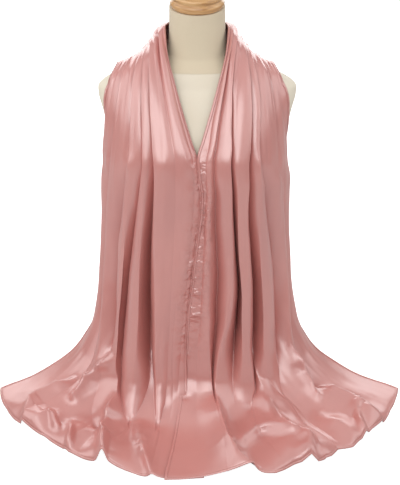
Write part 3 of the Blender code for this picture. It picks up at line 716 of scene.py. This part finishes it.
# %% Satin: grain and gathers
GATHERS_WITHIN = (0.060, 0.002)  # of the inner edge
GATHERS_BEGIN, GATHERS_END = (0.34, 0.40), (0.79, 0.74)  # from the nape, along the cloth
grain = noise(satin, stretched(satin, own_map, (1400.0, 90.0, 1.0)), 2.0)
cut_place = node(satin, "SeparateXYZ", [("Vector", own_map)]).outputs
from_nape = node(satin, "Math", [(0, cut_place["Y"])], operation="ABSOLUTE").outputs["Value"]
limits = ((from_nape, GATHERS_BEGIN), (from_nape, GATHERS_END), (cut_place["X"], GATHERS_WITHIN))
held = product(satin, *(ranged(satin, value, *limit, kind="SMOOTHSTEP") for value, limit in limits))
gathers = noise(satin, stretched(satin, own_map, (34.0, 62.0, 1.0), turn=0.7), 2.0)
rarely = ranged(satin, noise(satin, own_map, 1.0, scale=16.0), 0.30, 0.55)
weave = relief(satin, grain, 0.05, 0.0004)
drive(satin, "Normal", relief(satin, product(satin, gathers, held, rarely), 1.0, 0.010, weave))
print("nodes with grain and gathers:", len(satin.node_tree.nodes))

# %% [markdown]
# ## The knit covers and the turned wood
#
# The covers are a matt jersey with fine columns of loops, cream on the torso and a little darker on the neck.
# The cap is turned from a pale hardwood and lacquered, so its grain lies in long streaks under a clear coat.


# %% Knit and wood
def knit(name, light, dark):
    """A matt jersey of two near tones in soft clouds, with a relief of fine loops."""
    finish = new_finish(name, Roughness=0.85, Sheen_Weight=0.2)
    place = node(finish, "TexCoord").outputs["Object"]
    drive(finish, "Base Color", ramp(finish, noise(finish, place, 4.0, scale=9.0), (0.3, dark), (0.7, light)))
    loops = noise(finish, stretched(finish, place, (900.0, 900.0, 450.0)), 1.0)
    drive(finish, "Normal", relief(finish, loops, 0.25, 0.0005))
    return finish


cover = knit("form_cover", (0.80, 0.73, 0.60), (0.76, 0.68, 0.54))
neck_cover = knit("neck_cover", (0.70, 0.60, 0.44), (0.65, 0.55, 0.40))

wood = new_finish("turned_wood", Roughness=0.34, Coat_Weight=0.5, Coat_Roughness=0.12)
long_way = stretched(wood, node(wood, "TexCoord").outputs["Object"], (30.0, 30.0, 260.0))
honey = ramp(wood, noise(wood, long_way, 5.0, warp=0.6), (0.30, (0.40, 0.19, 0.065)),
             (0.55, (0.62, 0.35, 0.14)), (0.80, (0.76, 0.50, 0.25)))
drive(wood, "Base Color", honey)
print("nodes for the wood:", len(wood.node_tree.nodes))

# %% [markdown]
# ## The form's pieces
#
# The torso is closed at both ends and stands on its flat base. The neck's cover is a sleeve drawn down over
# it. The cap is turned on a lathe, so its outline is spun round its axis, and it sits square on the neck's
# slanting top.

# %% Torso, neck and cap
SEAM_GAP = 0.0003
SHARP_FROM = 50  # degrees
CAP_STEPS = 64
CAP = (  # radius, height above the neck's top in millimetres
    (0, 56), (8, 55), (13, 50.5), (14, 44), (11, 38), (13, 35), (25, 32), (38, 27.5), (44, 22),
    (45.5, 18.5), (43, 16), (45, 14), (48, 11), (49, 7), (48, 2.5), (45.5, 0), (0, 0),
)


def finished(name, bm, finish, slot, *nodes):
    """A smooth object that rides on the one body and stands for these solids."""
    mesh = bpy.data.meshes.new(name)
    bm.to_mesh(mesh)
    bm.free()
    mesh.shade_smooth()
    mesh.materials.append(finish)
    piece = bpy.data.objects.new(name, mesh)
    bpy.context.scene.collection.objects.link(piece)
    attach(piece, "root")
    if nodes:
        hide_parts(*nodes)
    return piece


torso = finished("torso", lofted(TORSO, TORSO_RINGS), cover, "form_cover", "form_torso")
sleeve = lofted(NECK, NECK_RINGS, lift=SEAM_GAP, closed_below=False)
neck = finished("neck", sleeve, neck_cover, "neck_cover", "form_neck")
for piece in (torso, neck):
    piece.data.set_sharp_from_angle(angle=math.radians(SHARP_FROM))

bm = bmesh.new()
profile = [bm.verts.new((radius / 1000, 0, height / 1000)) for radius, height in CAP]
outline = profile + [bm.edges.new(pair) for pair in zip(profile, profile[1:])]
bmesh.ops.spin(bm, geom=outline, axis=(0, 0, 1), cent=(0, 0, 0), angle=2 * math.pi, steps=CAP_STEPS,
               use_merge=True)
bmesh.ops.remove_doubles(bm, verts=bm.verts, dist=0.00002)
bmesh.ops.recalc_face_normals(bm, faces=bm.faces)
neck_top, _, _, neck_middle, neck_tilt = NECK[-1]
seat = Matrix.Translation((0, neck_middle / 1000, neck_top / 1000 + 2 * SEAM_GAP))
bmesh.ops.transform(bm, matrix=seat @ Matrix.Rotation(math.radians(neck_tilt), 4, "X"), verts=bm.verts)
cap = finished("cap", bm, wood, "turned_wood", "form_cap")
for piece in (torso, neck, cap):
    print(piece.name, "faces:", len(piece.data.polygons))

# %% [markdown]
# ## The shawl
#
# A grid is the flat cut: one way along the cloth and one across. Its points are then laid in the drape, and a
# Solidify modifier gives the thin shell its wall.

# %% The drape and its measures
SHEET_WIDTH, SHEET_LENGTH = 0.56, 2.07  # the flat cut
ROWS_TO = ((0.165, 14), (0.37, 26), (0.70, 30), (0.90, 42), (1.00, 28))  # share of the length, rows up to it
COLUMNS = 163


def row_places():
    """Where the rows lie, from -1 at one hem to 1 at the other: closest together on the table."""
    shares, begun = [], 0.0
    for end, count in ROWS_TO:
        shares += [begun + (end - begun) * k / count for k in range(count)]
        begun = end
    shares.append(1.0)
    return np.array([-share for share in shares[:0:-1]] + shares)


along = row_places()
line, part = columns_between_lines(COLUMNS)
laid = drape(along, line, part, form_skin)
facing = unit(np.cross(np.gradient(laid, axis=0), np.gradient(laid, axis=1)))

steps = np.linalg.norm(np.diff(laid, axis=1), axis=-1)
widths = steps.sum(axis=1)
lengths = np.linalg.norm(np.diff(laid, axis=0), axis=-1).sum(axis=0)
print(len(along), "rows,", len(line), "columns")
for name, values in (("width", widths), ("length", lengths)):
    print(f"{name} {values.min():.3f} to {values.max():.3f}, mean {values.mean():.3f}")
diagonals = np.cross(laid[1:, 1:] - laid[:-1, :-1], laid[1:, :-1] - laid[:-1, 1:])
area, whole = np.linalg.norm(diagonals, axis=-1).sum() / 2, SHEET_WIDTH * SHEET_LENGTH
print(f"area {area:.3f}, flat {whole:.3f}, share {area / whole:.2f}")

# %% The sheet of satin
WALL = 0.0005
bm = bmesh.new()
bmesh.ops.create_grid(bm, x_segments=len(line) - 1, y_segments=len(along) - 1, size=1.0)
reached = np.concatenate([np.zeros((len(along), 1)), np.cumsum(steps, axis=1)], axis=1)
reached *= SHEET_WIDTH / reached[:, -1:]
cut = [(across, row * SHEET_LENGTH / 2) for row, places in zip(along, reached) for across in places]
for vert, point in zip(bm.verts, laid.reshape(-1, 3)):  # the grid's points come row by row
    vert.co = point
bm.verts.index_update()
uv = bm.loops.layers.uv.new("cloth")
for face in bm.faces:
    for loop in face.loops:
        loop[uv].uv = cut[loop.vert.index]
bm.normal_update()
shawl = finished("shawl", bm, satin, "satin", "shawl_fall_left", "shawl_fall_right", "shawl_nape")
wall = shawl.modifiers.new("wall", "SOLIDIFY")
wall.thickness = WALL
wall.offset = 1.0
print("shawl faces:", len(shawl.data.polygons))

# %% [markdown]
# ## Hems and stitches
#
# A cut satin edge frays, so all four are rolled over and sewn down. Each hem is a narrow flattened tube round
# the sheet's edge, with a row of small stitches along its inner side. At the centre front the two inner edges
# are caught together by a few longer stitches, which is why the cloth gathers there.

# %% The thread and how an edge runs
thread = new_finish("thread", Roughness=0.55)
twist = noise(thread, node(thread, "TexCoord").outputs["Object"], 1.0, scale=900.0)
drive(thread, "Base Color", ramp(thread, twist, (0.3, (0.60, 0.30, 0.27)), (0.7, (0.74, 0.42, 0.38))))
THREAD_SIDES = 5


def edge_frame(edge, beside, out):
    """For each point of an edge: the way along it, the way into the cloth and the way out of its face."""
    onward = unit(np.gradient(edge, axis=0))
    up = unit(out - (out * onward).sum(-1, keepdims=True) * onward)
    inward = np.cross(up, onward)
    inward *= np.sign((inward * (beside - edge)).sum(-1, keepdims=True))
    return onward, inward, up


def add_stitch(bm, middle, onward, length, radius):
    """One stitch: a short length of thread that lies this way."""
    turned = Vector(onward).to_track_quat("Z", "Y").to_matrix().to_4x4()
    bmesh.ops.create_cone(bm, segments=THREAD_SIDES, radius1=radius, radius2=radius, depth=length,
                          cap_ends=True, matrix=Matrix.Translation(middle) @ turned)


print("thread nodes:", len(thread.node_tree.nodes))

# %% The rolled hems
HEM_HALF_WIDTH, HEM_HALF_THICKNESS, HEM_SIDES = 0.0024, 0.0008, 8
HEM_IN, HEM_UP = 0.7, 0.6  # how far the tube's middle is inside the edge and above it, in its own half sizes
EDGES = (  # the edge, a line of points further in, its face's directions, whether it runs along the warp
    (laid[:, 0], laid[:, 4], facing[:, 0], True), (laid[:, -1], laid[:, -5], facing[:, -1], True),
    (laid[0], laid[3], facing[0], False), (laid[-1], laid[-4], facing[-1], False),
)


def add_hem(bm, uv, edge, inward, up, warp_along):
    """A flattened tube round one edge, with its two ends closed."""
    run = run_along(edge)
    turns = 2 * math.pi * np.arange(HEM_SIDES) / HEM_SIDES
    spots = edge[:, None] + (inward[:, None] * HEM_HALF_WIDTH * (HEM_IN + np.cos(turns))[:, None]
                             + up[:, None] * HEM_HALF_THICKNESS * (HEM_UP + np.sin(turns))[:, None])
    spots[..., 2] = np.maximum(spots[..., 2], 0.0)
    rings = [[bm.verts.new(spot) for spot in ring] for ring in spots]
    for k, (ring, following) in enumerate(zip(rings, rings[1:])):
        for side in range(HEM_SIDES):
            other = (side + 1) % HEM_SIDES
            face = bm.faces.new((ring[side], ring[other], following[other], following[side]))
            around = (side, side + 1, side + 1, side)
            for loop, turn, far in zip(face.loops, around, (k, k, k + 1, k + 1)):
                across_hem, along_hem = turn * HEM_HALF_WIDTH / HEM_SIDES, run[far]
                loop[uv].uv = (across_hem, along_hem) if warp_along else (along_hem, across_hem)
    for ring in (rings[0], rings[-1]):
        bm.faces.new(ring)


hem = bmesh.new()
uv = hem.loops.layers.uv.new("cloth")
for edge, beside, out, warp_along in EDGES:
    _, inward, up = edge_frame(edge, beside, out)
    add_hem(hem, uv, edge, inward, up, warp_along)
bmesh.ops.recalc_face_normals(hem, faces=hem.faces)
hems = finished("hems", hem, satin, "satin")
print("hem faces:", len(hems.data.polygons))

# %% The stitches of the hems
STITCH_LENGTH, STITCH_PITCH, THREAD_RADIUS = 0.0026, 0.0060, 0.00024
STITCH_IN, STITCH_UP = 1.25, 1.35  # where the row of stitches lies, in the hem's half sizes
sewing = bmesh.new()
for edge, beside, out, _ in EDGES:
    onward, inward, up = edge_frame(edge, beside, out)
    seam = edge + inward * HEM_HALF_WIDTH * STITCH_IN + up * HEM_HALF_THICKNESS * STITCH_UP
    run = run_along(seam)
    places = np.arange(STITCH_PITCH, run[-1] - STITCH_PITCH, STITCH_PITCH)
    middles = np.stack([np.interp(places, run, seam[:, axis]) for axis in range(3)], axis=-1)
    middles[:, 2] = np.maximum(middles[:, 2], THREAD_RADIUS)
    for middle, course in zip(middles, onward[np.searchsorted(run, places) - 1]):
        add_stitch(sewing, middle, course, STITCH_LENGTH, THREAD_RADIUS)
bmesh.ops.recalc_face_normals(sewing, faces=sewing.faces)
stitches = finished("hem_stitches", sewing, thread, "satin")
print("hem stitch faces:", len(stitches.data.polygons))

# %% The stitches at the centre front
CATCH_LENGTH, CATCH_PITCH, CATCH_RADIUS, CATCH_LEAN = 0.0085, 0.0170, 0.00042, 0.35
CATCH_FIRST, CATCH_PROUD = 0.004, 0.0022  # where the first is, and how far they all stand out of the cloth
catching = bmesh.new()
basted = np.flatnonzero((along >= BASTED_FROM) & (along <= BASTED_TO))
front = (laid[basted, 0] + laid[::-1, 0][basted]) / 2 + facing[basted, 0] * CATCH_PROUD
run = run_along(front)
for number, k in enumerate(np.searchsorted(run, np.arange(CATCH_FIRST, run[-1], CATCH_PITCH))):
    lean = CATCH_LEAN * (1 + 0.5 * math.sin(5.0 * number))
    add_stitch(catching, front[k], (1.0, 0.0, lean), CATCH_LENGTH, CATCH_RADIUS)
bmesh.ops.recalc_face_normals(catching, faces=catching.faces)
catches = finished("front_stitches", catching, thread, "satin")
print("front stitch faces:", len(catches.data.polygons))

# %% [markdown]
# ## The room, the light and the camera
#
# A large soft light in front, a wide weak one above, one behind and one at each side. The floor and the world
# look white to the camera but shine only weakly, so that the folds keep their shade.

# %% Floor
FLOOR_HALF_SIZE, FLOOR_DROP = 6.0, 0.0006
WHITE, PALE = (1.0, 1.0, 1.0, 1.0), (0.55, 0.55, 0.55, 1.0)
bm = bmesh.new()
bmesh.ops.create_grid(bm, x_segments=1, y_segments=1, size=FLOOR_HALF_SIZE)
bmesh.ops.translate(bm, vec=(0, 0, -FLOOR_DROP), verts=bm.verts)
floor_mesh = bpy.data.meshes.new("floor")
bm.to_mesh(floor_mesh)
bm.free()
pale = new_finish("pale_floor", Roughness=0.9, Base_Color=PALE, Emission_Color=WHITE)
to_camera = node(pale, "LightPath").outputs["Is Camera Ray"]
drive(pale, "Emission Strength", ranged(pale, to_camera, 0.0, 1.0, 0.02, 0.95))
floor_mesh.materials.append(pale)
floor = bpy.data.objects.new("floor", floor_mesh)
bpy.context.scene.collection.objects.link(floor)
print("floor:", FLOOR_HALF_SIZE * 2, "m wide")

# %% Lights and the world
LIGHTS = (  # name, place, what it aims at, width and height, power in watts
    ("key", (-0.45, -2.80, 2.25), (0.0, 0.0, 0.50), (3.2, 1.8), 50),
    ("top", (0.0, -0.15, 2.30), (0.0, -0.05, 0.0), (3.4, 2.8), 14),
    ("back", (0.0, 2.40, 1.30), (0.0, 0.0, 0.1), (4.0, 1.6), 48),
    ("left", (-2.50, -0.50, 1.90), (0.0, 0.0, 0.4), (3.8, 2.2), 38),
    ("right", (2.50, -0.50, 1.90), (0.0, 0.0, 0.4), (3.8, 2.2), 32),
)
for name, place, aim, size, power in LIGHTS:
    soft_box = bpy.data.lights.new(name, "AREA")
    soft_box.shape, (soft_box.size, soft_box.size_y), soft_box.energy = "RECTANGLE", size, power
    lamp = bpy.data.objects.new(name, soft_box)
    bpy.context.scene.collection.objects.link(lamp)
    lamp.location = place
    lamp.rotation_euler = (Vector(aim) - Vector(place)).to_track_quat("-Z", "Y").to_euler()

world = bpy.data.worlds.new("room")
world.use_nodes = True
tree = world.node_tree
seen, glow = tree.nodes["Background"], node(world, "Background")
for background, strength in ((seen, 1.0), (glow, 0.25)):
    background.inputs["Color"].default_value = WHITE
    background.inputs["Strength"].default_value = strength
to_camera = node(world, "LightPath").outputs["Is Camera Ray"]
both = node(world, "MixShader", [("Fac", to_camera), (1, glow.outputs["Background"]),
                                 (2, seen.outputs["Background"])])
tree.links.new(both.outputs["Shader"], tree.nodes["World Output"].inputs["Surface"])
bpy.context.scene.world = world
bpy.context.scene.view_settings.view_transform = "Standard"
print("lights:", len(LIGHTS))

# %% Camera
FOCAL_PIXELS, LONG_SIDE = 1185, 485  # fitted to the photograph's outline
CAMERA_PLACE, LOOKS_DOWN = (0.005, -2.12, 1.165), 22.5  # metres, degrees
lens = bpy.data.cameras.new("camera")
lens.sensor_width, lens.sensor_fit = 36.0, "AUTO"
lens.lens = lens.sensor_width * FOCAL_PIXELS / LONG_SIDE
camera = bpy.data.objects.new("camera", lens)
camera.location = CAMERA_PLACE
camera.rotation_euler = (math.radians(90 - LOOKS_DOWN), 0, 0)
bpy.context.scene.collection.objects.link(camera)
bpy.context.scene.camera = camera
print("focal length in mm:", round(lens.lens, 1))
